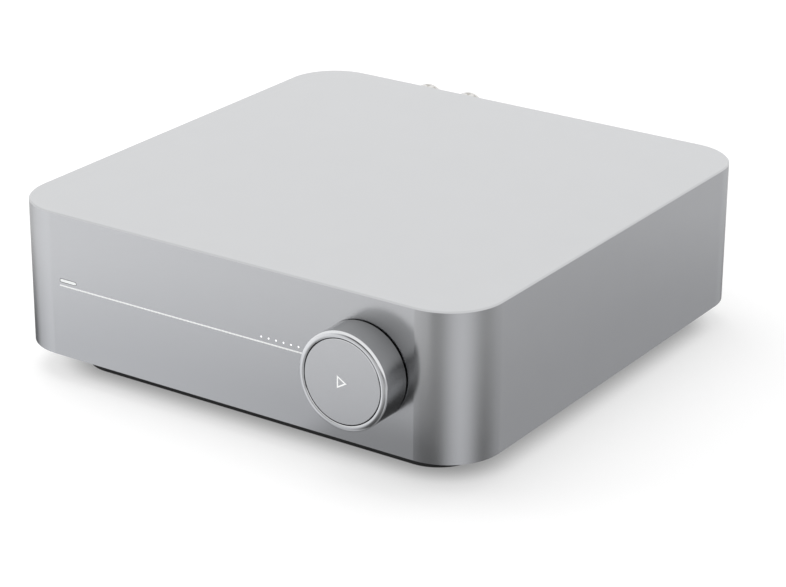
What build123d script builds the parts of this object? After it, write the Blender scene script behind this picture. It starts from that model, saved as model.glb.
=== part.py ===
from build123d import *
from math import cos, radians, sin
import os

# A streaming amplifier: a seamless aluminium housing on a dark base, a volume ring with a push button in
# its middle, and a connector panel at the rear with four screw-down loudspeaker posts.
# Millimetres. The front faces -Y, +Z is up, and z = 0 is the surface that the amplifier stands on.
# The origin is under the centre of the housing.

os.makedirs("parts", exist_ok=True)

# Housing
shell_size = 190
shell_bottom = 10
shell_top = 63
shell_corner = 20
shell_wall = 2.6
shell_roof = 3
edge_bevel = 0.5
ceiling = shell_top - shell_roof
front_face = -shell_size / 2
rear_face = shell_size / 2
front_inside = front_face + shell_wall
rear_inside = rear_face - shell_wall

# Base, its rubber pad and the screws that hold it
base_size = 160.5
base_corner = 15
base_wall = 2.4
base_floor = 2
pad_thickness = 1.5
pad_bevel = 0.2
flange_low = 10.6
flange_high = 12.6
flange_gap = 0.25
pillar_spread = 164
pillar_radius = 5
pillar_bore = 1.3
pillar_bore_depth = 12

# Volume ring and play button, distances counted forward from the front face
knob_x = 55.6
knob_z = 36.95
ring_radius = 17.1
ring_bore = 15.4
ring_mouth = 14.9
ring_foot = 0.6
ring_foot_bevel = 0.2
ring_shoulder = 8.4
ring_crest_radius = 15.6
ring_crest = 12.05
crown_radius = 2.2
crown_outer_tilt = radians(25)
button_radius = 14.6
button_face = 11.95
button_back = 10.5
spindle_radius = 7.5
stem_bore = 4.0
running_gap = 0.05
bracket_front = -86
bracket_back = -84
bracket_width = 42
bracket_height = 40

# Front window, indicators and the fine inlaid line
line_left = -71.5
line_right = 42.3
line_z = 36.55
line_height = 0.5
line_depth = 1.2
window_x = -67.65
window_z = 38.5
window_length = 7.1
window_height = 1.1
dot_first = 14.95
dot_pitch = 3.02
dot_count = 6
dot_z = 38.45
dot_radius = 0.33
guide_back = -78.4

# Circuit boards
board_thickness = 1.6
board_top = 24
board_under = board_top - board_thickness
front_board_face = -77.3
front_board_back = front_board_face + board_thickness
tub_floor = pad_thickness + base_floor

# Rear panel
panel_width = 150
panel_height = 43
panel_z = 36.5
panel_corner = 4
panel_front = 93.6
panel_rear = 94.8
panel_screw_columns = (-71.5, -19, 25, 71.5)
panel_screw_z = 18
plate_seams = (0.1, 49.9)

# Loudspeaker posts
post_pitch = 19
post_centre_x = -46.4
post_centre_z = 40.2
post_columns = {"inner": post_centre_x + post_pitch / 2, "outer": post_centre_x - post_pitch / 2}
post_rows = {"upper": post_centre_z + post_pitch / 2, "lower": post_centre_z - post_pitch / 2}
stud_radius = 3
stud_start = 79
stud_end = 113.8
stud_bevel = 0.4
stud_collar = 4.6
banana_radius = 2
banana_floor = 101.6
plate_back = 88
plate_face = 97.2
washer_face = 99
cap_start = 100
cap_end = 115
cap_radius = 7.25
washer_radius = 5.6

# Sockets, each by the x of its middle
sub_out_x = -20.5
line_in_x = -7
hdmi_x = 9
optical_x = 24.5
network_x = 40
mains_x = 61
mains_z = 36
rca_lower_z = 32
rca_upper_z = 46
hdmi_z = 27.1
optical_z = 29.2
usb_z = 40.26
socket_face = 94.6


def finish(piece, name):
    """Label a finished piece and write it to its own file."""
    piece.part.label = name
    export_step(piece.part, f"parts/{name}.step")


def across(y):
    """The upright plane at depth y, with x to the right and z up. Extruding from it goes forward."""
    return Plane.XZ.offset(-y)


def rod(x, z, radius, front, back, mode=Mode.ADD):
    """A round bar along Y."""
    with BuildSketch(across(back)) as section:
        with Locations((x, z)):
            Circle(radius)
    extrude(section.sketch, amount=back - front, mode=mode)


def tube(x, z, outer, inner, front, back):
    """A round tube along Y."""
    with BuildSketch(across(back)) as section:
        with Locations((x, z)):
            Circle(outer)
            Circle(inner, mode=Mode.SUBTRACT)
    extrude(section.sketch, amount=back - front)


def bar(x, z, width, height, front, back, corner=0.0, mode=Mode.ADD):
    """A bar along Y with a rectangular section, its corners rounded where a radius is given."""
    with BuildSketch(across(back)) as section:
        with Locations((x, z)):
            if corner:
                RectangleRounded(width, height, corner)
            else:
                Rectangle(width, height)
    extrude(section.sketch, amount=back - front, mode=mode)


def slab(width, depth, low, high, corner=0.0, x=0.0, y=0.0, mode=Mode.ADD):
    """An upright block between two heights, its upright edges rounded where a radius is given."""
    with BuildSketch(Plane.XY.offset(low)) as section:
        with Locations((x, y)):
            if corner:
                RectangleRounded(width, depth, corner)
            else:
                Rectangle(width, depth)
    extrude(section.sketch, amount=high - low, mode=mode)


def column(x, y, radius, low, high, mode=Mode.ADD):
    """An upright round bar."""
    with BuildSketch(Plane.XY.offset(low)) as section:
        with Locations((x, y)):
            Circle(radius)
    extrude(section.sketch, amount=high - low, mode=mode)


def turned(x, z, profile):
    """Turn a closed profile of (radius, depth) points about the line along Y through x and z."""
    with BuildSketch(Plane(origin=(x, 0, z), x_dir=(1, 0, 0), z_dir=(0, 0, 1))) as section:
        with BuildLine():
            Polyline(*profile, close=True)
        make_face()
    revolve(section.sketch, axis=Axis((x, 0, z), (0, 1, 0)))


# Housing
line_slot_height = line_height + 0.04
window_slot_corner = window_height / 2 - 0.01
opening_width = 140
opening_height = 37
boss_radius = 3
pilot_depth = 5.5
bracket_bosses = [(knob_x + dx, knob_z + dz) for dx in (-18, 18) for dz in (-17, 17)]
board_bosses = [(x, z) for x in (-76, 24) for z in (28, 46)]
panel_bosses = [(x, panel_z + dz) for x in panel_screw_columns for dz in (-panel_screw_z, panel_screw_z)]

with BuildPart() as enclosure_shell:
    slab(shell_size, shell_size, shell_bottom, shell_top, shell_corner)
    chamfer(enclosure_shell.edges().group_by(Axis.Z)[-1], edge_bevel)
    inside = shell_size - 2 * shell_wall
    slab(inside, inside, shell_bottom, ceiling, shell_corner - shell_wall, mode=Mode.SUBTRACT)
    with BuildSketch(Plane.XY.offset(flange_high)):
        with GridLocations(pillar_spread, pillar_spread, 2, 2):
            Circle(pillar_radius)
    extrude(amount=ceiling - flange_high)
    with BuildSketch(Plane.XY.offset(flange_high)):
        with GridLocations(pillar_spread, pillar_spread, 2, 2):
            Circle(pillar_bore)
    extrude(amount=pillar_bore_depth, mode=Mode.SUBTRACT)
    for boss_x, boss_z in bracket_bosses:
        rod(boss_x, boss_z, boss_radius, front_inside - 0.5, bracket_front)
    for boss_x, boss_z in board_bosses:
        rod(boss_x, boss_z, boss_radius, front_inside - 0.5, front_board_face)
    for boss_x, boss_z in panel_bosses:
        rod(boss_x, boss_z, boss_radius, panel_front - 8, rear_inside + 0.5)
    rod(knob_x, knob_z, 11, front_face, front_inside, mode=Mode.SUBTRACT)
    bar((line_left + line_right) / 2, line_z, line_right - line_left, line_slot_height,
        front_face, front_face + line_depth, mode=Mode.SUBTRACT)
    bar(window_x, window_z, window_length, window_height, front_face, front_inside,
        window_slot_corner, mode=Mode.SUBTRACT)
    for i in range(dot_count):
        rod(dot_first + i * dot_pitch, dot_z, dot_radius, front_face, front_inside, mode=Mode.SUBTRACT)
    bar(0, panel_z, panel_width, panel_height, panel_front, rear_face, panel_corner, mode=Mode.SUBTRACT)
    bar(0, panel_z, opening_width, opening_height, rear_inside - 0.2, panel_front, panel_corner,
        mode=Mode.SUBTRACT)
    for places, pilot_front in ((bracket_bosses, bracket_front - pilot_depth),
                                (board_bosses, front_board_face - pilot_depth),
                                (panel_bosses, panel_front - pilot_depth)):
        for boss_x, boss_z in places:
            rod(boss_x, boss_z, 1, pilot_front, pilot_front + pilot_depth, mode=Mode.SUBTRACT)
finish(enclosure_shell, "enclosure_shell")

# Base: a tub with a vented flange that closes the housing from below
vent_length = 9
vent_width = 2.2
vent_pitch = 5
vent_rows = 22
vent_x = 86.3
standoff_radius = 3
board_fixings = [(x, y) for x in (-70, 42) for y in (-54, 66)]
power_fixings = [(x, y) for x in (55, 84) for y in (-57, 61)]
base_screw_head = 2.9

with BuildPart() as base_tray:
    slab(base_size, base_size, pad_thickness, flange_low, base_corner)
    flange_size = shell_size - 2 * shell_wall - 2 * flange_gap
    slab(flange_size, flange_size, flange_low, flange_high, shell_corner - shell_wall - flange_gap)
    tub = base_size - 2 * base_wall
    slab(tub, tub, tub_floor, flange_high, base_corner - base_wall, mode=Mode.SUBTRACT)
    with BuildSketch(Plane.XY.offset(flange_low)):
        with Locations((-vent_x, 0), (vent_x, 0)):
            with GridLocations(vent_length, vent_pitch, 1, vent_rows):
                Rectangle(vent_length, vent_width)
    extrude(amount=flange_high - flange_low, mode=Mode.SUBTRACT)
    for fix_x, fix_y in board_fixings + power_fixings:
        standoff_foot = tub_floor if abs(fix_x) < tub / 2 else (flange_low + flange_high) / 2
        column(fix_x, fix_y, standoff_radius, standoff_foot, board_under)
        column(fix_x, fix_y, 1.1, board_under - 8, board_under, mode=Mode.SUBTRACT)
    with Locations(Plane.XY.offset(flange_low).rotated((180, 0, 0))):
        with GridLocations(pillar_spread, pillar_spread, 2, 2):
            CounterSinkHole(radius=1.7, counter_sink_radius=base_screw_head + 0.1, depth=3)
finish(base_tray, "base_tray")

with BuildPart() as base_pad:
    slab(base_size, base_size, 0, pad_thickness, base_corner)
    chamfer(base_pad.edges().group_by(Axis.Z)[0], pad_bevel)
finish(base_pad, "base_pad")


def countersunk_screw(radius, head_radius, head_height, length):
    """A countersunk screw that points up from its head at z = 0, with a cross recess."""
    with BuildSketch(Plane.XZ) as outline:
        with BuildLine():
            Polyline((0, 0), (head_radius, 0), (radius, head_height), (radius, length), (0, length),
                     close=True)
        make_face()
    revolve(outline.sketch, axis=Axis.Z)
    with BuildSketch() as recess:
        Rectangle(head_radius * 1.1, 0.6)
        Rectangle(0.6, head_radius * 1.1)
    extrude(recess.sketch, amount=head_height * 0.6, mode=Mode.SUBTRACT)


with BuildPart() as one_base_screw:
    countersunk_screw(1.25, base_screw_head, 1.5, 11)
with BuildPart() as base_screws:
    with Locations(Plane.XY.offset(flange_low)):
        with GridLocations(pillar_spread, pillar_spread, 2, 2):
            add(one_base_screw.part)
finish(base_screws, "base_screws")


# Rear panel: three plates side by side, with a cut-out for each socket
panel_gap = 0.3
seam_width = 0.2
spigot_width = 33.6
spigot_height = 29.6
jack_hole = 4
rca_places = [(line_in_x, rca_upper_z), (line_in_x, rca_lower_z), (sub_out_x, rca_lower_z)]

with BuildPart() as rear_panel:
    bar(0, panel_z, panel_width - panel_gap, panel_height - panel_gap, panel_front, panel_rear, panel_corner)
    bar(post_centre_x, post_centre_z, spigot_width + 0.3, spigot_height + 0.3, panel_front, panel_rear, 4,
        mode=Mode.SUBTRACT)
    for jack_x, jack_z in rca_places:
        rod(jack_x, jack_z, jack_hole, panel_front, panel_rear, mode=Mode.SUBTRACT)
    bar(hdmi_x, hdmi_z, 15.6, 6.8, panel_front, panel_rear, 1, mode=Mode.SUBTRACT)
    bar(optical_x, optical_z, 10.4, 10.8, panel_front, panel_rear, mode=Mode.SUBTRACT)
    bar(network_x, 30.7, 16.5, 13.9, panel_front, panel_rear, mode=Mode.SUBTRACT)
    bar(network_x, usb_z, 13.6, 6.3, panel_front, panel_rear, mode=Mode.SUBTRACT)
    bar(mains_x, mains_z, 18.9, 12.4, panel_front, panel_rear, 3, mode=Mode.SUBTRACT)
    for boss_x, boss_z in panel_bosses:
        rod(boss_x, boss_z, 1.1, panel_front, panel_rear, mode=Mode.SUBTRACT)
    for seam_x in plate_seams:
        bar(seam_x, panel_z, seam_width, panel_height, panel_front, panel_rear, mode=Mode.SUBTRACT)
finish(rear_panel, "rear_panel")

# Volume ring: a hollow aluminium cup, turned about the spindle's axis. Its lip has a broad, nearly flat crown
# that falls a little towards the button, and a tighter round that runs from the crown into the side.
crown_centre = ring_crest - crown_radius
crown_end = ring_crest_radius + crown_radius * sin(crown_outer_tilt)
crown_end_depth = crown_centre + crown_radius * cos(crown_outer_tilt)
lip_round = (ring_radius - crown_end) / (1 - sin(crown_outer_tilt))
lip_centre = ring_radius - lip_round
lip_start_depth = crown_end_depth - lip_round * cos(crown_outer_tilt)
lip_middle = (crown_outer_tilt + radians(90)) / 2
mouth_round = 0.12
mouth_tilt = (ring_crest_radius - ring_mouth - mouth_round) / crown_radius
mouth_depth = crown_centre + crown_radius * (1 - mouth_tilt ** 2) ** 0.5

with BuildPart() as volume_ring:
    with BuildSketch(Plane(origin=(knob_x, front_face, knob_z), x_dir=(1, 0, 0), z_dir=(0, 0, 1))):
        with BuildLine():
            Polyline((ring_bore, -ring_foot), (ring_radius - ring_foot_bevel, -ring_foot),
                     (ring_radius, -ring_foot - ring_foot_bevel), (ring_radius, -lip_start_depth))
            ThreePointArc((ring_radius, -lip_start_depth),
                          (lip_centre + lip_round * sin(lip_middle),
                           -lip_start_depth - lip_round * cos(lip_middle)),
                          (crown_end, -crown_end_depth))
            ThreePointArc((crown_end, -crown_end_depth), (ring_crest_radius, -ring_crest),
                          (ring_mouth + mouth_round, -mouth_depth))
            Polyline((ring_mouth + mouth_round, -mouth_depth), (ring_mouth, -mouth_depth + mouth_round),
                     (ring_mouth, -ring_shoulder), (ring_bore, -ring_shoulder), (ring_bore, -ring_foot))
        make_face()
    revolve(axis=Axis((knob_x, 0, knob_z), (0, 1, 0)))
finish(volume_ring, "volume_ring")

# The ring's carrier turns on the spindle and takes the encoder wheel behind the front wall
carrier_front = front_face - ring_shoulder
hub_radius = 10
wheel_seat = -90
wheel_bore = 9.2
hub_end = -88.2
wheel_radius = 15
wheel_thickness = 0.8
wheel_back = wheel_seat + wheel_thickness
slot_circle = 12.8
slot_count = 24
slot_length = 2.6
slot_width = 1.4
carrier_disc = 1.8
carrier_skirt = 6.5
carrier_outer = ring_bore - running_gap
carrier_inner = ring_bore - 1.5
hub_bore = spindle_radius + running_gap

with BuildPart() as ring_carrier:
    turned(knob_x, knob_z, [
        (hub_bore, carrier_front), (carrier_outer, carrier_front),
        (carrier_outer, carrier_front + carrier_skirt), (carrier_inner, carrier_front + carrier_skirt),
        (carrier_inner, carrier_front + carrier_disc), (hub_radius, carrier_front + carrier_disc),
        (hub_radius, wheel_seat), (wheel_bore, wheel_seat), (wheel_bore, hub_end), (hub_bore, hub_end)])
finish(ring_carrier, "ring_carrier")

with BuildPart() as encoder_wheel:
    tube(knob_x, knob_z, wheel_radius, wheel_bore, wheel_seat, wheel_back)
    with BuildSketch(across(wheel_back)):
        with Locations((knob_x, knob_z)):
            with PolarLocations(slot_circle, slot_count):
                Rectangle(slot_length, slot_width)
    extrude(amount=wheel_thickness, mode=Mode.SUBTRACT)
finish(encoder_wheel, "encoder_wheel")

# The fixed spindle: a tube that guides the button's stem, with a flange on the bracket and a clip groove
clip_front = carrier_front - 0.9
clip_thickness = 0.7
clip_back = clip_front + clip_thickness
clip_groove = 6.8
spindle_nose = clip_front - 0.4
spindle_bevel = 0.3
spindle_flange = 11
flange_front = bracket_front - 2

with BuildPart() as spindle:
    turned(knob_x, knob_z, [
        (stem_bore, spindle_nose), (spindle_radius - spindle_bevel, spindle_nose),
        (spindle_radius, spindle_nose + spindle_bevel), (spindle_radius, clip_front),
        (clip_groove, clip_front), (clip_groove, clip_back), (spindle_radius, clip_back),
        (spindle_radius, flange_front), (spindle_flange, flange_front), (spindle_flange, bracket_front),
        (spindle_radius, bracket_front), (spindle_radius, bracket_back), (stem_bore, bracket_back)])
finish(spindle, "spindle")


def retaining_ring(name, outer, inner, front, back):
    """An open ring that snaps into a groove, with its gap at the bottom."""
    with BuildPart() as ring:
        tube(knob_x, knob_z, outer, inner, front, back)
        bar(knob_x, knob_z - outer / 2, inner * 1.1, outer + 2, front, back, mode=Mode.SUBTRACT)
    finish(ring, name)


retaining_ring("spindle_clip", 9.4, clip_groove, clip_front, clip_back)

with BuildPart() as knob_bracket:
    bar(knob_x, knob_z, bracket_width, bracket_height, bracket_front, bracket_back, 4)
    rod(knob_x, knob_z, spindle_radius + 0.1, bracket_front, bracket_back, mode=Mode.SUBTRACT)
    for boss_x, boss_z in bracket_bosses:
        rod(boss_x, boss_z, 1.1, bracket_front, bracket_back, mode=Mode.SUBTRACT)
finish(knob_bracket, "knob_bracket")

sensor_low = knob_z - 18.5
sensor_high = knob_z - 11.4
sensor_front = -91.9
sensor_width = 6
sensor_floor = knob_z - wheel_radius - 1.2
sensor_clearance = 0.5
with BuildPart() as encoder_sensor:
    bar(knob_x, (sensor_low + sensor_high) / 2, sensor_width, sensor_high - sensor_low,
        sensor_front, bracket_front)
    bar(knob_x, (sensor_floor + knob_z) / 2, sensor_width, knob_z - sensor_floor,
        wheel_seat - sensor_clearance, wheel_back + sensor_clearance, mode=Mode.SUBTRACT)
finish(encoder_sensor, "encoder_sensor")

# Play button: a thin disc on a stem that slides through the spindle onto a switch
stem_radius = stem_bore - running_gap
stem_end = -82
stem_clip_front = bracket_back + 0.05
stem_clip_back = stem_clip_front + 0.7
stem_groove = 3.3
button_front_y = front_face - button_face
button_back_y = front_face - button_back

with BuildPart() as play_button:
    turned(knob_x, knob_z, [
        (0, button_front_y), (button_radius - 0.15, button_front_y), (button_radius, button_front_y + 0.15),
        (button_radius, button_back_y), (stem_radius, button_back_y), (stem_radius, stem_clip_front),
        (stem_groove, stem_clip_front), (stem_groove, stem_clip_back), (stem_radius, stem_clip_back),
        (stem_radius, stem_end), (0, stem_end)])
finish(play_button, "play_button")
retaining_ring("stem_clip", 6, stem_groove, stem_clip_front, stem_clip_back)

switch_front = -80.8
with BuildPart() as button_switch:
    bar(knob_x, knob_z, 6.2, 6.2, switch_front, front_board_face, 0.5)
    rod(knob_x, knob_z, 1.8, switch_front, switch_front + 2.4, mode=Mode.SUBTRACT)
finish(button_switch, "button_switch")
with BuildPart() as switch_plunger:
    rod(knob_x, knob_z, 1.75, stem_end, switch_front + 1.4)
finish(switch_plunger, "switch_plunger")

# Front board with its indicator lamps and the guides that carry their light to the front face
dots = [(dot_first + i * dot_pitch, dot_z) for i in range(dot_count)]
window_lamps = [(window_x + dx, window_z) for dx in (-2.2, 0, 2.2)]
with BuildPart() as front_board:
    bar(-1, 37, 158, 30, front_board_face, front_board_back, 1)
    for boss_x, boss_z in board_bosses:
        rod(boss_x, boss_z, 1.1, front_board_face, front_board_back, mode=Mode.SUBTRACT)
    for lamp_x, lamp_z in dots + window_lamps:
        bar(lamp_x, lamp_z, 1.6, 0.8, front_board_face - 0.8, front_board_face)
finish(front_board, "front_board")

with BuildPart() as indicator_guides:
    for guide_x, guide_z in dots:
        rod(guide_x, guide_z, dot_radius - 0.03, front_face + 0.15, front_inside)
        rod(guide_x, guide_z, 1.1, front_inside, guide_back)
finish(indicator_guides, "indicator_guides")

with BuildPart() as status_window:
    bar(window_x, window_z, window_length - 0.06, window_height - 0.06, front_face + 0.5, front_inside,
        window_slot_corner - 0.03)
    bar(window_x, window_z, window_length + 1.4, 2.4, front_inside, guide_back, 1)
finish(status_window, "status_window")

with BuildPart() as guide_holder:
    bar(-20.5, 38.5, 107, 4, front_inside, -85, 1)
    bar(window_x, window_z, window_length + 1.5, 2.5, front_inside, -85, 1.05, mode=Mode.SUBTRACT)
    for guide_x, guide_z in dots:
        rod(guide_x, guide_z, 1.15, front_inside, -85, mode=Mode.SUBTRACT)
finish(guide_holder, "guide_holder")

with BuildPart() as accent_line:
    bar((line_left + line_right) / 2, line_z, line_right - line_left, line_height,
        front_face + 0.05, front_face + line_depth)
finish(accent_line, "accent_line")


# Loudspeaker posts
def post_places():
    """Each post's x and z, row by row."""
    return [(x, z) for z in post_rows.values() for x in post_columns.values()]


with BuildPart() as post_plate:
    bar(post_centre_x, post_centre_z, 38, 35.4, panel_rear, plate_face, 6.5)
    chamfer(post_plate.faces().sort_by(Axis.Y)[-1].edges(), 0.5)
    bar(post_centre_x, post_centre_z, spigot_width, spigot_height, plate_back, panel_rear, 4)
    for post_x, post_z in post_places():
        rod(post_x, post_z, stud_radius + 0.1, plate_back, plate_face, mode=Mode.SUBTRACT)
finish(post_plate, "post_plate")

with BuildPart() as speaker_posts:
    for post_x, post_z in post_places():
        turned(post_x, post_z, [
            (0, stud_start), (stud_radius - stud_bevel, stud_start), (stud_radius, stud_start + stud_bevel),
            (stud_radius, plate_face), (stud_collar, plate_face), (stud_collar, washer_face),
            (stud_radius, washer_face), (stud_radius, stud_end - stud_bevel),
            (stud_radius - stud_bevel, stud_end), (banana_radius, stud_end), (banana_radius, banana_floor),
            (0, banana_floor - 0.8)])
finish(speaker_posts, "speaker_posts")


def polarity_rings(name, column_name):
    """The coloured ring at the foot of each post in a column."""
    with BuildPart() as rings:
        for ring_z in post_rows.values():
            tube(post_columns[column_name], ring_z, 7, stud_collar + 0.15, plate_face, washer_face - 0.3)
    finish(rings, name)


polarity_rings("polarity_rings_red", "inner")
polarity_rings("polarity_rings_black", "outer")

flute_count = 12
flute_radius = 1.5
flute_circle = cap_radius + 0.85
flute_end = cap_end - 2
flute_start = cap_start + 3.5
cap_neck = cap_radius - 0.6
cap_bore = stud_radius + running_gap
cap_mouth = banana_radius + 0.3
cap_lip = stud_end + 0.15

for row_name, post_z in post_rows.items():
    for column_name, post_x in post_columns.items():
        with BuildPart() as post_cap:
            turned(post_x, post_z, [
                (cap_bore, cap_start), (cap_neck - 0.6, cap_start), (cap_neck, cap_start + 0.4),
                (cap_neck, cap_start + 1.8), (cap_radius, cap_start + 2.2), (cap_radius, cap_end - 1),
                (cap_radius - 1, cap_end), (cap_mouth + 0.7, cap_end), (cap_mouth, cap_end - 0.7),
                (cap_mouth, cap_lip), (cap_bore, cap_lip)])
            with BuildSketch(across(flute_end)):
                with Locations((post_x, post_z)):
                    with PolarLocations(flute_circle, flute_count):
                        RegularPolygon(flute_radius, 8)
            extrude(amount=flute_end - flute_start, mode=Mode.SUBTRACT)
        finish(post_cap, f"post_cap_{row_name}_{column_name}")
        with BuildPart() as clamp_washer:
            tube(post_x, post_z, washer_radius, cap_bore, washer_face, cap_start)
        finish(clamp_washer, f"clamp_washer_{row_name}_{column_name}")

tab_front = 83.2
tab_back = 84
tab_width = 2.6
tab_eye = 5.4
nut_radius = 5
lock_nut_front = 79.6
tab_reach = {"upper": 7.2, "lower": 3.4}
column_side = {"inner": 1, "outer": -1}
with BuildPart() as post_terminals:
    for row_name, post_z in post_rows.items():
        for column_name, post_x in post_columns.items():
            for nut_front, nut_back in ((tab_back, plate_back), (lock_nut_front, tab_front)):
                with BuildSketch(across(nut_back)):
                    with Locations((post_x, post_z)):
                        RegularPolygon(nut_radius, 6)
                        Circle(cap_bore, mode=Mode.SUBTRACT)
                extrude(amount=nut_back - nut_front)
            reach = column_side[column_name] * tab_reach[row_name]
            with BuildSketch(across(tab_back)):
                with Locations((post_x, post_z)):
                    Circle(tab_eye)
                with Locations((post_x + reach, (post_z + board_top) / 2)):
                    Rectangle(tab_width, post_z - board_top)
                if row_name == "upper":
                    with Locations((post_x + reach / 2, post_z)):
                        Rectangle(abs(reach) + tab_width, tab_width)
                with Locations((post_x, post_z)):
                    Circle(stud_radius + 0.1, mode=Mode.SUBTRACT)
            extrude(amount=tab_back - tab_front)
finish(post_terminals, "post_terminals")

# Phono sockets
sleeve_radius = 4.15
sleeve_neck = 3.7
ring_back = panel_rear + 1.4
sleeve_bore = 3.4
contact_bore = 1.6
sleeve_end = 104.3

with BuildPart() as rca_housings:
    slab(12.5, 15.6, board_top, 52.5, x=line_in_x, y=85.8)
    slab(12, 15.6, board_top, 38.5, x=sub_out_x, y=85.8)
    for jack_x, jack_z in rca_places:
        rod(jack_x, jack_z, sleeve_neck, 88, panel_front, mode=Mode.SUBTRACT)
finish(rca_housings, "rca_housings")

with BuildPart() as rca_contacts:
    for jack_x, jack_z in rca_places:
        turned(jack_x, jack_z, [
            (sleeve_bore, 88), (sleeve_neck, 88), (sleeve_neck, ring_back), (sleeve_radius, ring_back),
            (sleeve_radius, sleeve_end), (sleeve_bore, sleeve_end)])
        turned(jack_x, jack_z, [
            (0, 88), (contact_bore + 0.5, 88), (contact_bore + 0.5, sleeve_end - 0.9),
            (contact_bore, sleeve_end - 0.9), (contact_bore, 89.2), (0, 88.6)])
finish(rca_contacts, "rca_contacts")

for colour, (jack_x, jack_z) in zip(("white", "red", "black"), rca_places):
    with BuildPart() as rca_core:
        tube(jack_x, jack_z, sleeve_bore, contact_bore + 0.5, 88, sleeve_end - 0.6)
        tube(jack_x, jack_z, 6, sleeve_neck + 0.05, panel_rear, ring_back)
    finish(rca_core, f"rca_core_{colour}")

# Digital sockets, on the main board
with BuildPart() as socket_shells:
    bar(hdmi_x, hdmi_z, 15, 6.2, 82, socket_face, 1)
    with BuildSketch(across(socket_face)):
        with BuildLine():
            Polyline((hdmi_x - 7, 29.5), (hdmi_x - 7, 26.4), (hdmi_x - 5.2, 24.9), (hdmi_x + 5.2, 24.9),
                     (hdmi_x + 7, 26.4), (hdmi_x + 7, 29.5), close=True)
        make_face()
    extrude(amount=socket_face - 83, mode=Mode.SUBTRACT)
    bar(network_x, usb_z, 13.1, 5.72, 80, socket_face)
    bar(network_x, usb_z, 12.5, 5.12, 80.6, socket_face, mode=Mode.SUBTRACT)
finish(socket_shells, "socket_shells")
lan_low = board_top
lan_high = 37.4
with BuildPart() as network_port:
    bar(network_x, (lan_low + lan_high) / 2, 16, lan_high - lan_low, 74, socket_face)
    with BuildSketch(across(socket_face)):
        with Locations((network_x, 31.7)):
            Rectangle(11.8, 8.2)
        with Locations((network_x, 27)):
            Rectangle(6.2, 2.4)
        with Locations((network_x, 25.9)):
            Rectangle(3.4, 1.4)
    extrude(amount=socket_face - 80, mode=Mode.SUBTRACT)
finish(network_port, "network_port")
with BuildPart() as socket_tongues:
    bar(hdmi_x, hdmi_z + 0.8, 11.4, 1, 83, socket_face - 1.4)
    bar(network_x, usb_z + 1.3, 11.1, 1.9, 80.6, socket_face - 1)
finish(socket_tongues, "socket_tongues")

# Optical socket with its sprung shutter
shutter_axis_y = 93.7
shutter_axis_z = 33.1
shutter_half = 0.4
with BuildPart() as optical_port:
    bar(optical_x, optical_z, 10, 10.4, 81, socket_face)
    bar(optical_x, optical_z, 8.8, 8.8, 84, socket_face, mode=Mode.SUBTRACT)
    rod(optical_x, optical_z - 0.6, 1.6, 84, 85)
    with BuildSketch(Plane.YZ.offset(optical_x)):
        with Locations((shutter_axis_y, shutter_axis_z)):
            Circle(0.5)
    extrude(amount=5, both=True, mode=Mode.SUBTRACT)
finish(optical_port, "optical_port")
with BuildPart() as optical_shutter:
    with BuildSketch(Plane.YZ.offset(optical_x)):
        with Locations((shutter_axis_y, (shutter_axis_z + 25) / 2)):
            Rectangle(2 * shutter_half, shutter_axis_z - 25)
        with Locations((shutter_axis_y, shutter_axis_z)):
            Circle(shutter_half)
    extrude(amount=4.2, both=True)
    with BuildSketch(Plane.YZ.offset(optical_x)):
        with Locations((shutter_axis_y, shutter_axis_z)):
            Circle(0.45)
    extrude(amount=4.9, both=True)
finish(optical_shutter, "optical_shutter")

# Mains inlet for a figure-of-eight lead, and its two pins
inlet_cavity = 82
with BuildPart() as mains_inlet:
    bar(mains_x, mains_z, 22, 15.4, panel_rear, panel_rear + 1.8, 4)
    chamfer(mains_inlet.faces().sort_by(Axis.Y)[-1].edges(), 0.4)
    bar(mains_x, mains_z, 18.5, 12, 76, panel_rear, 3)
    with BuildSketch(across(panel_rear + 1.8)):
        with Locations((mains_x, mains_z)):
            SlotCenterToCenter(8.2, 8.6)
    extrude(amount=panel_rear + 1.8 - inlet_cavity, mode=Mode.SUBTRACT)
    for pin_x in (mains_x - 4.3, mains_x + 4.3):
        rod(pin_x, mains_z, 1.2, 76, inlet_cavity, mode=Mode.SUBTRACT)
finish(mains_inlet, "mains_inlet")
with BuildPart() as mains_pins:
    for pin_x in (mains_x - 4.3, mains_x + 4.3):
        rod(pin_x, mains_z, 1.2, 72, 93.5)
        chamfer(mains_pins.edges().filter_by(GeomType.CIRCLE).group_by(Axis.Y)[-1], 0.5)
finish(mains_pins, "mains_pins")

# Main board and what it carries
with BuildPart() as main_board:
    with BuildSketch(Plane.XY.offset(board_under)):
        with Locations((-13.5, 10)):
            RectangleRounded(125, 160, 2)
        with Locations(*board_fixings):
            Circle(1.2, mode=Mode.SUBTRACT)
    extrude(amount=board_thickness)
finish(main_board, "main_board")

with BuildPart() as power_board:
    with BuildSketch(Plane.XY.offset(board_under)):
        with Locations((70, 5)):
            RectangleRounded(38, 135, 2)
        with Locations(*power_fixings):
            Circle(1.2, mode=Mode.SUBTRACT)
    extrude(amount=board_thickness)
finish(power_board, "power_board")

with BuildPart() as pan_screws:
    for fix_x, fix_y in board_fixings + power_fixings:
        column(fix_x, fix_y, 1.9, board_top, board_top + 1.3)
        column(fix_x, fix_y, 1, board_under - 5, board_top)
    for places, seat in ((bracket_bosses, bracket_back), (board_bosses, front_board_back),
                         (panel_bosses, panel_rear)):
        for screw_x, screw_z in places:
            rod(screw_x, screw_z, 1.9, seat, seat + 1.3)
            rod(screw_x, screw_z, 0.95, seat - 6, seat)
            bar(screw_x, screw_z, 2.2, 0.5, seat + 0.6, seat + 1.3, mode=Mode.SUBTRACT)
            bar(screw_x, screw_z, 0.5, 2.2, seat + 0.6, seat + 1.3, mode=Mode.SUBTRACT)
finish(pan_screws, "pan_screws")

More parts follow.
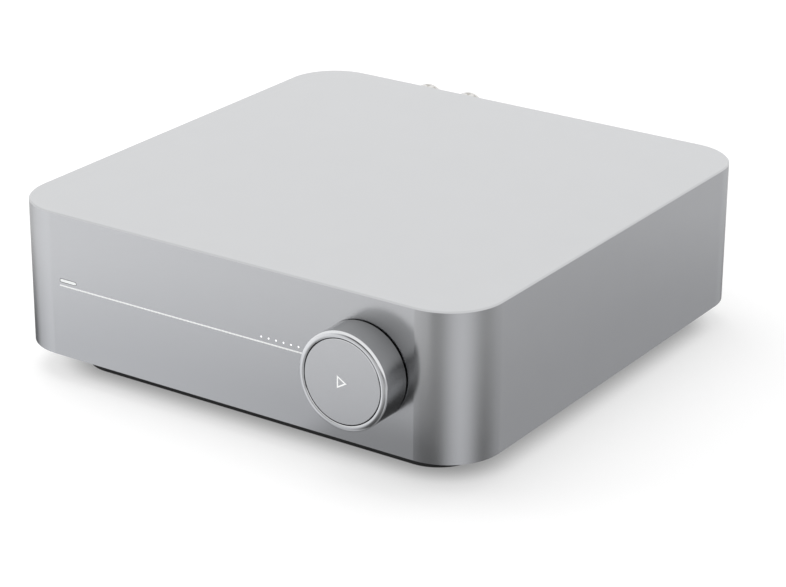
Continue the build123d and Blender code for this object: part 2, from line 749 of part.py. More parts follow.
chip_x = -42
chip_y = 8
chip_top = board_top + 1.2
with BuildPart() as amplifier_chip:
    slab(14, 10, board_top, chip_top, x=chip_x, y=chip_y)
finish(amplifier_chip, "amplifier_chip")

sink_base = chip_top + 4
sink_top = 52
fin_count = 9
fin_pitch = 6
with BuildPart() as heat_sinks:
    with BuildSketch(Plane.XZ.offset(-chip_y)):
        with Locations((chip_x, (chip_top + sink_base) / 2)):
            Rectangle(fin_pitch * (fin_count - 1) + 1.6, sink_base - chip_top)
        with Locations((chip_x, (sink_base + sink_top) / 2)):
            with GridLocations(fin_pitch, 1, fin_count, 1):
                Rectangle(1.6, sink_top - sink_base)
    extrude(amount=27, both=True)
    slab(2.5, 40, board_top, sink_top, x=87.5, y=34)
    for fin_y in range(18, 51, 8):
        slab(2, 1.4, board_top + 6, sink_top, x=85.3, y=fin_y)
finish(heat_sinks, "heat_sinks")

with BuildPart() as inductors:
    with BuildSketch(Plane.XY.offset(board_top)):
        with Locations((chip_x, 52)):
            with GridLocations(14, 1, 4, 1):
                RectangleRounded(11, 11, 1.5)
    extrude(amount=9)
    slab(18, 12, board_top, 40, 1, x=68, y=34)
    slab(24, 6, board_top, 36, 0.5, x=70, y=50)
finish(inductors, "inductors")

with BuildPart() as capacitors:
    with BuildSketch(Plane.XY.offset(board_top)):
        with Locations((chip_x, -36)):
            with GridLocations(13, 1, 4, 1):
                Circle(5)
    extrude(amount=16)
    column(64, -40, 9, board_top, 54)
    column(81, -32, 5, board_top, 46)
    column(81, -45, 5, board_top, 46)
finish(capacitors, "capacitors")

module_y = -30
module_x = 18
can_top = board_top + 3.4
with BuildPart() as streaming_module:
    slab(34, 34, board_top, board_top + 1, 1, x=module_x, y=module_y)
    slab(29, 29, board_top + 1, can_top, 1, x=module_x, y=module_y)
finish(streaming_module, "streaming_module")

# Power supply
with BuildPart() as transformer_core:
    with BuildSketch(Plane.XZ.offset(4)):
        with Locations((70, 37.5)):
            Rectangle(30, 25)
            Rectangle(24, 19, mode=Mode.SUBTRACT)
            Rectangle(8, 25)
    extrude(amount=7, both=True)
finish(transformer_core, "transformer_core")
with BuildPart() as transformer_winding:
    slab(23, 24, 28.4, 46.6, 4, x=70, y=-4)
    slab(8.2, 14.2, 28.4, 46.6, x=70, y=-4, mode=Mode.SUBTRACT)
finish(transformer_winding, "transformer_winding")


def lead(points, radius, bend):
    """A round lead along straight runs joined by arcs."""
    with BuildLine() as route:
        FilletPolyline(*points, radius=bend)
    with BuildSketch(Plane(origin=route.line @ 0, z_dir=route.line % 0)) as section:
        Circle(radius)
    sweep(section.sketch, path=route.line)


link_start = 52.5
link_end = 45
link_height = 33
with BuildPart() as supply_leads:
    for pin_x in (mains_x - 4.3, mains_x + 4.3):
        lead([(pin_x, 72, mains_z), (pin_x, 68.5, mains_z), (pin_x, 68.5, board_top)], 0.9, 2.5)
    for lead_y in (-12, -9, -6):
        lead([(link_start, lead_y, board_top), (link_start, lead_y, link_height),
              (link_end, lead_y, link_height), (link_end, lead_y, board_top)], 0.8, 3)
finish(supply_leads, "supply_leads")

# Antennas stand in the base, where no metal covers them, and their leads climb to the streaming module
lead_plane_y = -72.8
with BuildPart() as antennas:
    for antenna_x, edge_x, rise_x in ((-50, -38, module_x - 10), (50, 38, module_x + 10)):
        slab(24, 0.8, tub_floor, 15, x=antenna_x, y=-75)
        lead([(edge_x, -75, 12), (rise_x, lead_plane_y, 12), (rise_x, lead_plane_y, 32),
              (rise_x, module_y - 8, 32), (rise_x, module_y - 8, can_top)], 0.55, 1.8)
finish(antennas, "antennas")

with BuildPart() as ribbon_cable:
    with BuildSketch(Plane.YZ.offset(-20)):
        with BuildLine():
            Polyline((-75.7, 30), (-73.5, 30), (-66, 25.5), (-62, 24), (-62, 24.4), (-66, 25.9),
                     (-73.4, 30.4), (-75.7, 30.4), close=True)
        make_face()
    extrude(amount=8, both=True)
finish(ribbon_cable, "ribbon_cable")
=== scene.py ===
import math

import bmesh
import bpy
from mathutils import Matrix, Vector


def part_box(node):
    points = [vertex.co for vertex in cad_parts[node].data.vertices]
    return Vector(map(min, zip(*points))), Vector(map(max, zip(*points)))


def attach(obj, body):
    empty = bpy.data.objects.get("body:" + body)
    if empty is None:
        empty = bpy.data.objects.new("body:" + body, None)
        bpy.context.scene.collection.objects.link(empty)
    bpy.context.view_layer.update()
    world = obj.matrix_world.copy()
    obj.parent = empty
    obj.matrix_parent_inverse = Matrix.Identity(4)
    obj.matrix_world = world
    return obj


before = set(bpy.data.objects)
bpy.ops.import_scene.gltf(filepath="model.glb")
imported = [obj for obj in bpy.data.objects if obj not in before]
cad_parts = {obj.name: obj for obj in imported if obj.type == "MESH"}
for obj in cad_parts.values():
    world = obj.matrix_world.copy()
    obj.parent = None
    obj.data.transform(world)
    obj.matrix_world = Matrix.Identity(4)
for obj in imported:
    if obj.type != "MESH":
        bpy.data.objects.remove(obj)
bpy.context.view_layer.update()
scene = bpy.context.scene
scene.view_settings.view_transform = "Standard"
# One millimetre in Blender's metres
MM = 0.001


# Camera: the photograph's viewpoint, in metres and degrees
camera_place = Vector((0.491168, -0.728100, 0.380159))
camera_azimuth = math.radians(33.828)
camera_elevation = math.radians(22.407)
camera_roll = math.radians(-0.369)
lens_length = 120.38
sensor_width = 36
nearest_seen = 0.01
farthest_seen = 50


def make_camera():
    """A camera that looks down at the amplifier's right front corner."""
    level = math.cos(camera_elevation)
    back = Vector((math.sin(camera_azimuth) * level, -math.cos(camera_azimuth) * level,
                   math.sin(camera_elevation)))
    right = (-back).cross(Vector((0, 0, 1))).normalized()
    up = right.cross(-back)
    turned_right = math.cos(camera_roll) * right - math.sin(camera_roll) * up
    turned_up = math.sin(camera_roll) * right + math.cos(camera_roll) * up
    data = bpy.data.cameras.new("camera")
    data.sensor_width = sensor_width
    data.lens = lens_length
    data.clip_start = nearest_seen
    data.clip_end = farthest_seen
    camera = bpy.data.objects.new("camera", data)
    scene.collection.objects.link(camera)
    rotation = camera.matrix_world.to_3x3()
    for row in range(3):
        rotation[row] = (turned_right[row], turned_up[row], back[row])
    camera.matrix_world = rotation.to_4x4()
    camera.location = camera_place
    scene.camera = camera


make_camera()


def add_object(name, bm):
    """A built mesh as an object of the scene."""
    mesh = bpy.data.meshes.new(name)
    bm.to_mesh(mesh)
    bm.free()
    obj = bpy.data.objects.new(name, mesh)
    scene.collection.objects.link(obj)
    return obj


# Shader nodes
white = (1, 1, 1, 1)


def fill(tree, entries, values):
    """Link or set some of a node's inputs. values gives each one, by name or number, a socket or a plain
    value."""
    for entry, value in values.items():
        if isinstance(value, bpy.types.NodeSocket):
            tree.links.new(value, entries[entry])
        else:
            entries[entry].default_value = value


def add_node(tree, kind, values=None, operation=None):
    """A new node with its inputs filled."""
    node = tree.nodes.new(kind)
    if operation:
        node.operation = operation
    fill(tree, node.inputs, values or {})
    return node


def arithmetic(tree, operation, *values):
    """The result of one step of arithmetic on numbers."""
    return add_node(tree, "ShaderNodeMath", dict(enumerate(values)), operation).outputs[0]


def vector_arithmetic(tree, operation, *values):
    """The vector that one step of arithmetic on vectors gives."""
    return add_node(tree, "ShaderNodeVectorMath", dict(enumerate(values)), operation).outputs[0]


def scaled(tree, colour, share):
    """A colour times a share."""
    return add_node(tree, "ShaderNodeVectorMath", {0: colour, "Scale": share}, "SCALE").outputs[0]


def between(tree, value, start, end, at_start=0.0, at_end=1.0, curve="LINEAR"):
    """A number that goes from at_start to at_end while value goes from start to end, and no further."""
    change = add_node(tree, "ShaderNodeMapRange", {"Value": value, "From Min": start, "From Max": end,
                                                   "To Min": at_start, "To Max": at_end})
    change.interpolation_type = curve
    return change.outputs[0]


def mix_colours(tree, share, first, second):
    """The first colour where share is 0 and the second where it is 1."""
    mix = tree.nodes.new("ShaderNodeMix")
    mix.data_type = "RGBA"
    entries = {entry.identifier: entry for entry in mix.inputs}
    fill(tree, entries, {"Factor_Float": share, "A_Color": first, "B_Color": second})
    results = {result.identifier: result for result in mix.outputs}
    return results["Result_Color"]


def mix_shaders(tree, share, first, second):
    """The first shader where share is 0 and the second where it is 1."""
    return add_node(tree, "ShaderNodeMixShader", {"Fac": share, 1: first, 2: second}).outputs[0]


def ray_kinds(tree):
    """Two outputs: 1 for glossy rays, and 1 for all rays that see, which are camera, glossy and transmission
    rays. The rays that light diffuse surfaces get 0 from both."""
    path = add_node(tree, "ShaderNodeLightPath")
    glossy = path.outputs["Is Glossy Ray"]
    seeing = arithmetic(tree, "MAXIMUM", path.outputs["Is Camera Ray"], glossy)
    return glossy, arithmetic(tree, "MAXIMUM", seeing, path.outputs["Is Transmission Ray"])


# Room: greys and heights laid out by azimuth in degrees, where heights are parts of a unit direction
sky_light = 0.75
room_tint = (0.99, 1.0, 1.03)
panel_stops = [(-180, 0.30), (-150, 0.20), (-106, 0.13), (-96, 0.36), (-84, 0.57), (-65, 0.70), (-50, 0.80),
               (-42, 0.80), (-37, 0.63), (-30, 0.36), (-20, 0.20), (-10, 0.16), (0, 0.11), (9, 0.08),
               (19, 0.12), (28, 0.28), (37, 0.43), (46, 0.53), (56, 0.58), (65, 0.53), (75, 0.43), (85, 0.28),
               (95, 0.15), (106, 0.09), (118, 0.15), (132, 0.25), (149, 0.355), (166, 0.395), (180, 0.30)]
band_stops = [(-180, 0.90), (-60, 0.90), (-42, 0.76), (-34, 0.50), (-27, 0.15), (-20, 0.12), (0, 0.10),
              (20, 0.12), (42, 0.19), (58, 0.28), (80, 0.46), (110, 0.36), (145, 0.50), (166, 0.8),
              (180, 0.90)]
band_low = -0.35
band_high = -0.22
sill_stops = [(-180, -0.02), (-60, -0.02), (-45, 0.06), (-34, 0.20), (-20, 0.30), (0, 0.30), (20, 0.20),
              (46, 0.12), (100, 0.0), (112, 0.10), (140, 0.10), (165, -0.02)]
sill_soft = 0.12
ramp_shift = 0.5
foot_stops = [(-180, 1), (-36, 1), (-22, 0.35), (26, 0.30), (40, 0.45), (60, 1), (180, 1)]
foot_low = -0.56
foot_high = -0.45


def azimuth_ramp(tree, azimuth, stops):
    """Grey levels laid out round the room by azimuth in degrees, joined by straight lines."""
    ramp = add_node(tree, "ShaderNodeValToRGB", {"Fac": azimuth})
    elements = ramp.color_ramp.elements
    ramp.color_ramp.interpolation = "LINEAR"
    while len(elements) < len(stops):
        elements.new(position=0.5)
    for element, (degrees, grey) in zip(elements, stops):
        element.position = (degrees + 180) / 360
        element.color = [grey * part for part in room_tint] + [1]
    return ramp.outputs["Color"]


def make_world():
    """A pale room. Low down, where only reflections look, it has pale panels with darker gaps, shaded at
    their foot, then a band of its own, and the room's white starts above a sill whose height changes with
    the direction."""
    world = bpy.data.worlds.new("studio")
    world.use_nodes = True
    tree = world.node_tree
    tree.nodes.clear()
    place = add_node(tree, "ShaderNodeTexCoord")
    parts = add_node(tree, "ShaderNodeSeparateXYZ", {0: place.outputs["Generated"]}).outputs
    height = parts["Z"]
    forward = arithmetic(tree, "MULTIPLY", parts["Y"], -1)
    azimuth = between(tree, arithmetic(tree, "ARCTAN2", parts["X"], forward), -math.pi, math.pi)

    foot = azimuth_ramp(tree, azimuth, foot_stops)
    shade = between(tree, height, foot_low, foot_high, at_start=foot, curve="SMOOTHSTEP")
    panels = scaled(tree, azimuth_ramp(tree, azimuth, panel_stops), shade)
    band = azimuth_ramp(tree, azimuth, band_stops)
    in_band = between(tree, height, band_low, band_high, curve="SMOOTHSTEP")
    lower = mix_colours(tree, in_band, panels, band)

    # A ramp holds no level under 0, so the sill's heights are shifted up in it and down again after it
    sill = azimuth_ramp(tree, azimuth, [(degrees, level + ramp_shift) for degrees, level in sill_stops])
    sill_start = arithmetic(tree, "ADD", sill, -ramp_shift - sill_soft)
    sill_end = arithmetic(tree, "ADD", sill, -ramp_shift + sill_soft)
    above = between(tree, height, sill_start, sill_end, curve="SMOOTHSTEP")
    room = mix_colours(tree, above, lower, white)

    _, seeing = ray_kinds(tree)
    lit = add_node(tree, "ShaderNodeBackground", {"Color": white, "Strength": sky_light})
    seen = add_node(tree, "ShaderNodeBackground", {"Color": room})
    both = mix_shaders(tree, seeing, lit.outputs[0], seen.outputs[0])
    add_node(tree, "ShaderNodeOutputWorld", {"Surface": both})
    scene.world = world


make_world()


# Floor: its lift, weakened near the base as a painted contact shadow, its clear share for reflections and the
# painted shadow patch that only they see
floor_size = 20
floor_drop = 0.05 * MM
floor_grey = 0.45
floor_lift = 0.60
housing_half = 95 * MM
housing_round = 20 * MM
base_half = 80.25 * MM
base_round = 15 * MM
# Painted contact shadow: the glow's strength at the base, where its weakening starts and ends, and how far it
# is moved
shadow_lift = 0.27
shadow_start = -0.75 * MM
shadow_end = 14 * MM
shadow_shift = 1.8 * MM
# Painted shadow patch that only reflections see: its grey and its share
shadow_patch_dark = 0.10
shadow_patch_share = 0.42
# Where the painted shadow patch starts and where it is whole: at its left, at its right and out from the
# housing
shadow_patch_left = (14 * MM, 32 * MM)
shadow_patch_right = (100 * MM, 74 * MM)
shadow_patch_edge = (56 * MM, 24 * MM)
near_reach = 30 * MM
far_reach = 120 * MM
near_clear_front = 0.98
near_clear_right = 0.87
far_clear_front = 0.56
far_clear_right = 0.72
front_end = 60 * MM
right_start = 95 * MM


def reach_from(tree, position, half, rounding, shift=0.0):
    """How far a point of the floor lies outside a rounded square that is twice half wide. shift moves the
    square to the right and back."""
    straight = half - rounding
    moved = vector_arithmetic(tree, "SUBTRACT", position, (shift, shift, 0))
    size = vector_arithmetic(tree, "ABSOLUTE", moved)
    # A whole metre off the height leaves X and Y alone to count
    outside = vector_arithmetic(tree, "SUBTRACT", size, (straight, straight, 1))
    kept = vector_arithmetic(tree, "MAXIMUM", outside, (0, 0, 0))
    length = add_node(tree, "ShaderNodeVectorMath", {0: kept}, "LENGTH")
    return arithmetic(tree, "SUBTRACT", length.outputs["Value"], rounding)


def make_floor_paint():
    """Paint that takes the shadow, with a glow for the rays that see it, which is weaker where the base
    stands
    close over it: a painted contact shadow, moved a little to the right and back. Reflections look partly
    through it to the room. They alone find a painted shadow patch, which runs from in front of the volume
    ring to behind the housing."""
    material = bpy.data.materials.new("floor_paint")
    material.use_nodes = True
    tree = material.node_tree
    tree.nodes.clear()
    glossy, seeing = ray_kinds(tree)
    position = add_node(tree, "ShaderNodeNewGeometry").outputs["Position"]
    across = add_node(tree, "ShaderNodeSeparateXYZ", {0: position}).outputs["X"]
    reach = reach_from(tree, position, housing_half, housing_round)
    base_reach = reach_from(tree, position, base_half, base_round, shadow_shift)

    paint = add_node(tree, "ShaderNodeBsdfDiffuse", {"Color": (floor_grey, floor_grey, floor_grey, 1)})
    # Painted contact shadow: the glow weakens close round the base
    lift = between(tree, base_reach, shadow_start, shadow_end, shadow_lift, floor_lift, "SMOOTHSTEP")
    strength = arithmetic(tree, "MULTIPLY", seeing, lift)
    glow = add_node(tree, "ShaderNodeEmission", {"Color": white, "Strength": strength})
    lifted = add_node(tree, "ShaderNodeAddShader", {0: paint.outputs[0], 1: glow.outputs[0]})

    near_clear = between(tree, across, front_end, right_start, near_clear_front, near_clear_right)
    far_clear = between(tree, across, front_end, right_start, far_clear_front, far_clear_right)
    clear_share = between(tree, reach, near_reach, far_reach, near_clear, far_clear)
    clear = add_node(tree, "ShaderNodeBsdfTransparent")
    ground = mix_shaders(tree, arithmetic(tree, "MULTIPLY", glossy, clear_share), lifted.outputs[0],
                         clear.outputs[0])

    # Painted shadow patch, seen only by reflections
    shadow_amount = glossy
    for source, (start, end) in ((across, shadow_patch_left), (across, shadow_patch_right), (reach, shadow_patch_edge)):
        inside = between(tree, source, start, end, curve="SMOOTHSTEP")
        shadow_amount = arithmetic(tree, "MULTIPLY", inside, shadow_amount)
    shadow_patch = add_node(tree, "ShaderNodeEmission", {"Strength": shadow_patch_dark})
    shadowed = mix_shaders(tree, arithmetic(tree, "MULTIPLY", shadow_amount, shadow_patch_share), ground, shadow_patch.outputs[0])
    add_node(tree, "ShaderNodeOutputMaterial", {"Surface": shadowed})
    return material


def make_floor():
    """A wide floor just under the amplifier."""
    bm = bmesh.new()
    bmesh.ops.create_grid(bm, x_segments=2, y_segments=2, size=floor_size)
    floor = add_object("floor", bm)
    floor.location.z = -floor_drop
    floor.data.materials.append(make_floor_paint())


make_floor()


# Lamps
lamp_target = Vector((0, 0, 30 * MM))


def soft_lamp(name, place, size, watts):
    """A square soft box that faces the amplifier and shows in no reflection."""
    data = bpy.data.lights.new(name, "AREA")
    data.shape = "SQUARE"
    data.size = size
    data.energy = watts
    lamp = bpy.data.objects.new(name, data)
    lamp.location = place
    lamp.rotation_euler = (lamp_target - Vector(place)).to_track_quat("-Z", "Y").to_euler()
    lamp.visible_glossy = False
    scene.collection.objects.link(lamp)


soft_lamp("overhead_box", place=(-0.55, 0.15, 1.4), size=1.1, watts=8.0)
soft_lamp("left_box", place=(-1.1, -0.6, 0.9), size=0.8, watts=4.5)


# Finishes
noise_low = 0.3
noise_high = 0.7
broad_detail = 4
fine_detail = 2
least_roughness = 0.02
# The nook shade is painted shade, found by ambient occlusion and faded in between closed and open
nook_shade_samples = 16
nook_shade_closed = 0.45
nook_shade_open = 0.96
finishes = {}


def make_finish(name, colour, roughness, metallic=0.0, mottle=0.04, mottle_size=12.0, wear=0.03,
                grain=0.15, relief=0.004, coat=0.0, glow=0.0, nook_shade=0.0, nook_shade_reach=16.0, facet_shade=None):
    """A procedural finish. mottle is how far its shade wanders over mottle_size millimetres, wear how far its
    roughness does, and grain is the size and relief the height of its fine texture, in millimetres. The nook
    shade is painted shade: it darkens the finish where other pieces stand within its reach, in millimetres.
    The facet shade is painted shade on the faces whose normal has a part near a stated one along one axis,
    such as those of a cut bevel."""
    material = bpy.data.materials.new(name)
    material.use_nodes = True
    tree = material.node_tree
    place = add_node(tree, "ShaderNodeTexCoord").outputs
    broad = add_node(tree, "ShaderNodeTexNoise", {"Vector": place["Object"], "Scale": 1 / (mottle_size * MM),
                                                  "Detail": broad_detail}).outputs["Fac"]
    fine = add_node(tree, "ShaderNodeTexNoise", {"Vector": place["Object"], "Scale": 1 / (grain * MM),
                                                 "Detail": fine_detail}).outputs["Fac"]
    bump = add_node(tree, "ShaderNodeBump", {"Height": fine, "Distance": relief * MM})
    sheen = between(tree, broad, noise_low, noise_high, max(roughness - wear, least_roughness),
                    min(roughness + wear, 1))
    shades = add_node(tree, "ShaderNodeValToRGB", {"Fac": broad})
    for element, position, level in zip(shades.color_ramp.elements, (noise_low, noise_high),
                                        (1 - mottle, 1 + mottle)):
        element.position = position
        element.color = [min(part * level, 1) for part in colour] + [1]

    tone = shades.outputs["Color"]
    # Painted shade on the faces whose normal points one way
    if facet_shade:
        facing = add_node(tree, "ShaderNodeSeparateXYZ", {0: place["Normal"]}).outputs[facet_shade["axis"]]
        on_shaded_facet = arithmetic(tree, "COMPARE", facing, facet_shade["part"], facet_shade["spread"])
        tone = scaled(tree, tone, arithmetic(tree, "MULTIPLY_ADD", on_shaded_facet, facet_shade["share"] - 1, 1.0))
    # Painted shade: the finish darkens where other pieces stand close
    if nook_shade:
        occlusion = add_node(tree, "ShaderNodeAmbientOcclusion", {"Distance": nook_shade_reach * MM})
        occlusion.samples = nook_shade_samples
        tone = scaled(tree, tone, between(tree, occlusion.outputs["AO"], nook_shade_closed, nook_shade_open, 1 - nook_shade))

    shader = tree.nodes["Principled BSDF"]
    fill(tree, shader.inputs, {"Base Color": tone, "Roughness": sheen, "Metallic": metallic,
                               "Coat Weight": coat, "Normal": bump.outputs["Normal"]})
    if glow:
        fill(tree, shader.inputs, {"Emission Color": shades.outputs["Color"], "Emission Strength": glow})
    finishes[name] = material


# The aluminium of the housing, ring and button
# Painted shade: the housing's 45-degree bevels get 0.93 of its shade
top_bevel_shade = {"axis": "Z", "part": 0.707, "spread": 0.1, "share": 0.93}
# Painted shade: the ring's turned side gets 0.53 of the ring's shade
ring_side_shade = {"axis": "Y", "part": 0, "spread": 0.2, "share": 0.53}
make_finish("shell_aluminium", (0.629, 0.636, 0.648), 0.20, 1, mottle=0.008, wear=0.012, relief=0.0006,
            facet_shade=top_bevel_shade)
# The ring also gets painted shade where other pieces stand close
make_finish("ring_aluminium", (0.774, 0.782, 0.796), 0.09, 1, mottle=0.008, wear=0.012, relief=0.0005,
            nook_shade=0.62, nook_shade_reach=18, facet_shade=ring_side_shade)
make_finish("button_aluminium", (0.66, 0.667, 0.68), 0.22, 1, mottle=0.008, wear=0.012, relief=0.0006)

# Plastics, rubber and paint
make_finish("base_plastic", (0.045, 0.045, 0.046), 0.6, grain=0.25, relief=0.01)
make_finish("pad_rubber", (0.045, 0.045, 0.046), 0.8, grain=0.4, relief=0.02)
make_finish("panel_paint", (0.03, 0.03, 0.032), 0.45, grain=0.3, relief=0.015)
make_finish("black_plastic", (0.02, 0.02, 0.021), 0.42, grain=0.2, relief=0.008)
make_finish("ring_red", (0.5, 0.02, 0.018), 0.35, grain=0.2)
make_finish("ring_black", (0.018, 0.018, 0.019), 0.35, grain=0.2)
make_finish("core_white", (0.8, 0.8, 0.77), 0.35, grain=0.2)

# Pale inlays, with a painted glow, and lights
make_finish("white_light", (0.86, 0.88, 0.88), 0.3, mottle=0.02, mottle_size=3, glow=0.35)
make_finish("lamp_light", (0.95, 0.95, 0.95), 0.3, mottle=0.02, mottle_size=3, glow=1.2)
# The inlaid line and play mark are no lamps: their glow is painted light that keeps them white
make_finish("line_inlay", (0.88, 0.89, 0.89), 0.35, mottle=0.02, mottle_size=3, glow=0.36)
make_finish("mark_inlay", (0.88, 0.89, 0.89), 0.35, mottle=0.02, mottle_size=3, glow=0.42)
make_finish("lens_red", (0.28, 0.01, 0.008), 0.12, mottle=0.03, mottle_size=1, relief=0.0005, coat=0.6)

# Posts, sockets, screws and pins
make_finish("post_metal", (0.75, 0.74, 0.72), 0.18, 1, mottle=0.02, wear=0.04, grain=0.1, relief=0.001)
make_finish("socket_steel", (0.62, 0.62, 0.61), 0.24, 1, mottle=0.03, wear=0.06, relief=0.001)
make_finish("screw_steel", (0.09, 0.09, 0.095), 0.35, 1, mottle=0.06, mottle_size=2, relief=0.002)
make_finish("spindle_steel", (0.5, 0.5, 0.51), 0.3, 1, mottle=0.03, relief=0.001)
make_finish("pin_brass", (0.75, 0.74, 0.71), 0.16, 1, mottle=0.03, mottle_size=3, relief=0.0005)
make_finish("contact_gold", (0.78, 0.56, 0.22), 0.2, 1, mottle=0.02, mottle_size=3, relief=0.0005)

# Boards and what stands on them
make_finish("board_green", (0.015, 0.09, 0.045), 0.35, mottle=0.18, mottle_size=2.5, relief=0.006, coat=0.4)
make_finish("antenna_board", (0.03, 0.032, 0.036), 0.4, mottle=0.1, mottle_size=3)
make_finish("sink_aluminium", (0.32, 0.32, 0.33), 0.42, 1, mottle=0.05, relief=0.006)
make_finish("capacitor_sleeve", (0.02, 0.022, 0.045), 0.3, mottle=0.06, coat=0.3)
make_finish("ferrite", (0.05, 0.05, 0.052), 0.6, mottle=0.12, mottle_size=2, relief=0.01)
make_finish("winding_tape", (0.62, 0.45, 0.06), 0.4, mottle=0.05, mottle_size=3)
make_finish("lead_insulation", (0.25, 0.25, 0.26), 0.5, mottle=0.06)
make_finish("ribbon", (0.72, 0.72, 0.70), 0.4, mottle=0.04)

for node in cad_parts.values():
    for material_slot in node.material_slots:
        material_slot.material = finishes[material_slot.material.name.split(".")[0]]


# Meshes and pieces
def join_rings(bm, before, after):
    """A row of faces from one ring of corners to the next."""
    for i in range(len(before)):
        j = (i + 1) % len(before)
        bm.faces.new((before[i], before[j], after[j], after[i]))


def add_solid(bm, outlines, tip=None):
    """A closed solid through outlines that have as many points each. It ends at a tip where there is one."""
    rings = [[bm.verts.new(point) for point in outline] for outline in outlines]
    for before, after in zip(rings, rings[1:]):
        join_rings(bm, before, after)
    first, last = rings[0], rings[-1]
    bm.faces.new(first)
    if tip is None:
        bm.faces.new(list(reversed(last)))
    else:
        top = bm.verts.new(tip)
        for i in range(len(last)):
            bm.faces.new((last[i], last[(i + 1) % len(last)], top))
    bmesh.ops.recalc_face_normals(bm, faces=bm.faces)


def add_frame(bm, outer, inner, front, back):
    """A flat frame between two outlines in X and Z, from front to back along Y."""
    edges = ((outer, front), (inner, front), (inner, back), (outer, back))
    rings = [[bm.verts.new((x, y, z)) for x, z in outline] for outline, y in edges]
    for i, ring in enumerate(rings):
        join_rings(bm, rings[i - 1], ring)
    bmesh.ops.recalc_face_normals(bm, faces=bm.faces)


def front_middle(low, high):
    """The middle of a box seen from the front, as X and Z."""
    return Vector(((low.x + high.x) / 2, (low.z + high.z) / 2))


def new_piece(name, bm, body, finish_name):
    """Add a built mesh, give it its finish and let it ride on its body."""
    obj = add_object(name, bm)
    obj.data.materials.append(finishes[finish_name])
    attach(obj, body)


# Play mark: a fine outlined triangle inlaid in the button
mark_half_height = 2.24 * MM
mark_left = -1.90 * MM
mark_tip = 1.84 * MM
mark_drop = 0.3 * MM
mark_stroke = 0.46 * MM
mark_depth = 0.3 * MM
mark_proud = 0.015 * MM


def make_play_mark():
    """The triangle's outline, with an inner outline that lies a stroke inside it."""
    low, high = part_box("play_button")
    middle = front_middle(low, high) - Vector((0, mark_drop))
    corners = [Vector((mark_left, -mark_half_height)), Vector((mark_tip, 0)),
               Vector((mark_left, mark_half_height))]
    inner = []
    for i, corner in enumerate(corners):
        before = (corners[i - 1] - corner).normalized()
        after = (corners[(i + 1) % 3] - corner).normalized()
        half_angle = before.angle(after) / 2
        inner.append(corner + (before + after).normalized() * (mark_stroke / math.sin(half_angle)))
    bm = bmesh.new()
    add_frame(bm, [middle + point for point in corners], [middle + point for point in inner],
              low.y - mark_proud, low.y + mark_depth)
    new_piece("play_mark", bm, "button", "mark_inlay")


make_play_mark()


# Contacts and lens inside the rear sockets
contact_proud = 0.04 * MM
contact_bevel = 0.4 * MM
network_x = 40 * MM
network_count = 8
network_pitch = 1.02 * MM
network_radius = 0.2 * MM
# Y and Z of each point of a wire, in millimetres
network_route = [(92.6, 35.45), (91.4, 35.2), (84.4, 32.3), (83.6, 32.2)]
hdmi_x = 9 * MM
hdmi_upper_count = 10
hdmi_lower_count = 9
hdmi_pitch = 1 * MM
hdmi_width = 0.45 * MM
hdmi_tongue_z = 27.9 * MM
hdmi_tongue_half = 0.5 * MM
hdmi_front = 84 * MM
hdmi_back = 92.6 * MM
usb_x = network_x
# X from the socket's middle and Y of the outer end of each contact, in millimetres
usb_rows = [(-3.5, 92.6), (-1, 91.6), (1, 91.6), (3.5, 92.6)]
usb_width = 1.1 * MM
usb_height = 3 * contact_proud
usb_tongue_z = 40.61 * MM
usb_front = 82 * MM
lens_place = Vector((24.5 * MM, 85 * MM, 28.6 * MM))
lens_radius = 1.1 * MM
lens_rise = 0.5 * lens_radius
lens_steps = 6


def full_turn(sides):
    """The angles of a round outline's points."""
    return [2 * math.pi * k / sides for k in range(sides)]


def places(count, pitch):
    """Evenly spaced places on both sides of 0."""
    return [(i - (count - 1) / 2) * pitch for i in range(count)]


def wire(bm, points, radius, sides=8):
    """A round wire through the points, closed at both ends."""
    outlines = []
    for i, point in enumerate(points):
        along = (points[min(i + 1, len(points) - 1)] - points[max(i - 1, 0)]).normalized()
        across = along.cross(Vector((1, 0, 0))).normalized()
        upright = across.cross(along)
        outlines.append([point + radius * (math.cos(turn) * across + math.sin(turn) * upright)
                         for turn in full_turn(sides)])
    add_solid(bm, outlines)


def strip(bm, x, low_z, high_z, width, front, back):
    """A flat contact along Y with a bevel under its outer end."""
    side = [(front, low_z), (back - contact_bevel, low_z), (back, (low_z + high_z) / 2), (back, high_z),
            (front, high_z)]
    add_solid(bm, [[(edge, y, z) for y, z in side] for edge in (x - width / 2, x + width / 2)])


def make_network_contacts():
    """Eight springy wires that slope down into the port."""
    bm = bmesh.new()
    for offset in places(network_count, network_pitch):
        route = [Vector((network_x + offset, y * MM, z * MM)) for y, z in network_route]
        wire(bm, route, network_radius)
    new_piece("network_contacts", bm, "chassis", "contact_gold")


def make_hdmi_contacts():
    """A row of contacts on the tongue, and one with a contact less under it."""
    bm = bmesh.new()
    for count, low_z in ((hdmi_upper_count, hdmi_tongue_z + hdmi_tongue_half),
                         (hdmi_lower_count, hdmi_tongue_z - hdmi_tongue_half - contact_proud)):
        for offset in places(count, hdmi_pitch):
            strip(bm, hdmi_x + offset, low_z, low_z + contact_proud, hdmi_width, hdmi_front, hdmi_back)
    new_piece("hdmi_contacts", bm, "chassis", "contact_gold")


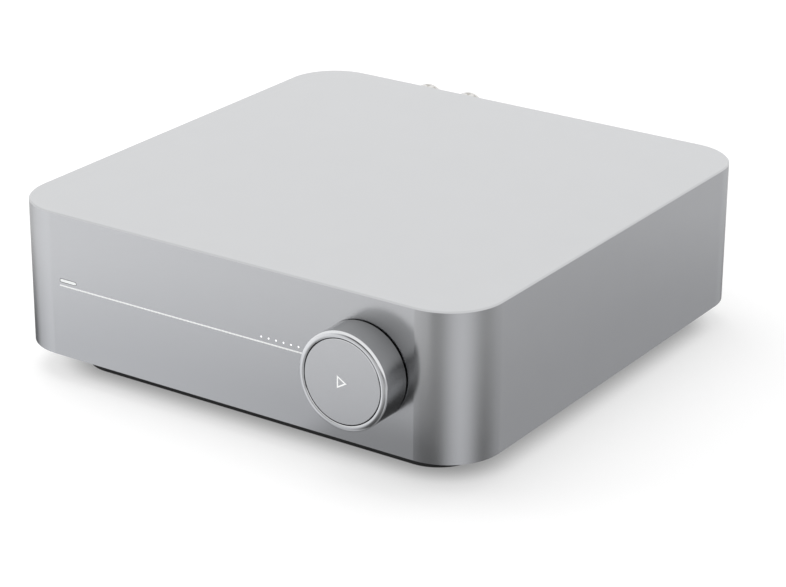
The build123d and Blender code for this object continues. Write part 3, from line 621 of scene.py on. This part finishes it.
def make_usb_contacts():
    """Four contacts under the tongue, the outer two longer."""
    bm = bmesh.new()
    for offset, back in usb_rows:
        strip(bm, usb_x + offset * MM, usb_tongue_z - usb_height, usb_tongue_z, usb_width, usb_front,
              back * MM)
    new_piece("usb_contacts", bm, "chassis", "contact_gold")


def make_optical_lens(sides=24):
    """A shallow dome that faces the back."""
    outlines = []
    for step in range(lens_steps):
        tilt = math.pi / 2 * step / lens_steps
        reach = lens_radius * math.cos(tilt)
        rise = lens_rise * math.sin(tilt)
        outlines.append([lens_place + Vector((reach * math.cos(turn), rise, reach * math.sin(turn)))
                         for turn in full_turn(sides)])
    bm = bmesh.new()
    add_solid(bm, outlines, tip=lens_place + Vector((0, lens_rise, 0)))
    for face in bm.faces:
        face.smooth = True
    new_piece("optical_lens", bm, "chassis", "lens_red")


make_network_contacts()
make_hdmi_contacts()
make_usb_contacts()
make_optical_lens()


# Status window: a pale lens that fills its slot up to the housing's face, with a thin dark rim round it as
# painted shade at the slot's edge
slot_half_height = 0.54 * MM
slot_half_length = 3.54 * MM
shade_rim_width = 0.16 * MM
shade_rim_proud = 0.015 * MM
lens_seat = 0.02 * MM


def slot_outline(middle, inset, sides=16):
    """The slot's long outline with round ends, as X and Z. inset is how far inside the slot it lies."""
    radius = slot_half_height - inset
    outline = []
    for side, start in ((1, -math.pi / 2), (-1, math.pi / 2)):
        end_middle = side * (slot_half_length - slot_half_height)
        for k in range(sides + 1):
            turn = start + math.pi * k / sides
            outline.append((middle.x + end_middle + radius * math.cos(turn),
                            middle.y + radius * math.sin(turn)))
    return outline


def make_window():
    """The dark rim's front stands a little proud of the face, and the lens's front lies as little behind it.
    """
    low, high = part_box("status_window")
    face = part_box("enclosure_shell")[0].y
    middle = front_middle(low, high)
    rim = slot_outline(middle, 0)

    # Painted shade: a thin dark rim where the slot's edge lies in shade
    shade_rim = bmesh.new()
    add_frame(shade_rim, slot_outline(middle, -shade_rim_width), rim, face - shade_rim_proud, face + lens_seat)
    new_piece("window_shade_rim", shade_rim, "chassis", "black_plastic")

    lens = bmesh.new()
    add_solid(lens, [[(x, y, z) for x, z in rim] for y in (low.y - lens_seat, face + shade_rim_proud)])
    new_piece("window_lens", lens, "chassis", "white_light")


make_window()
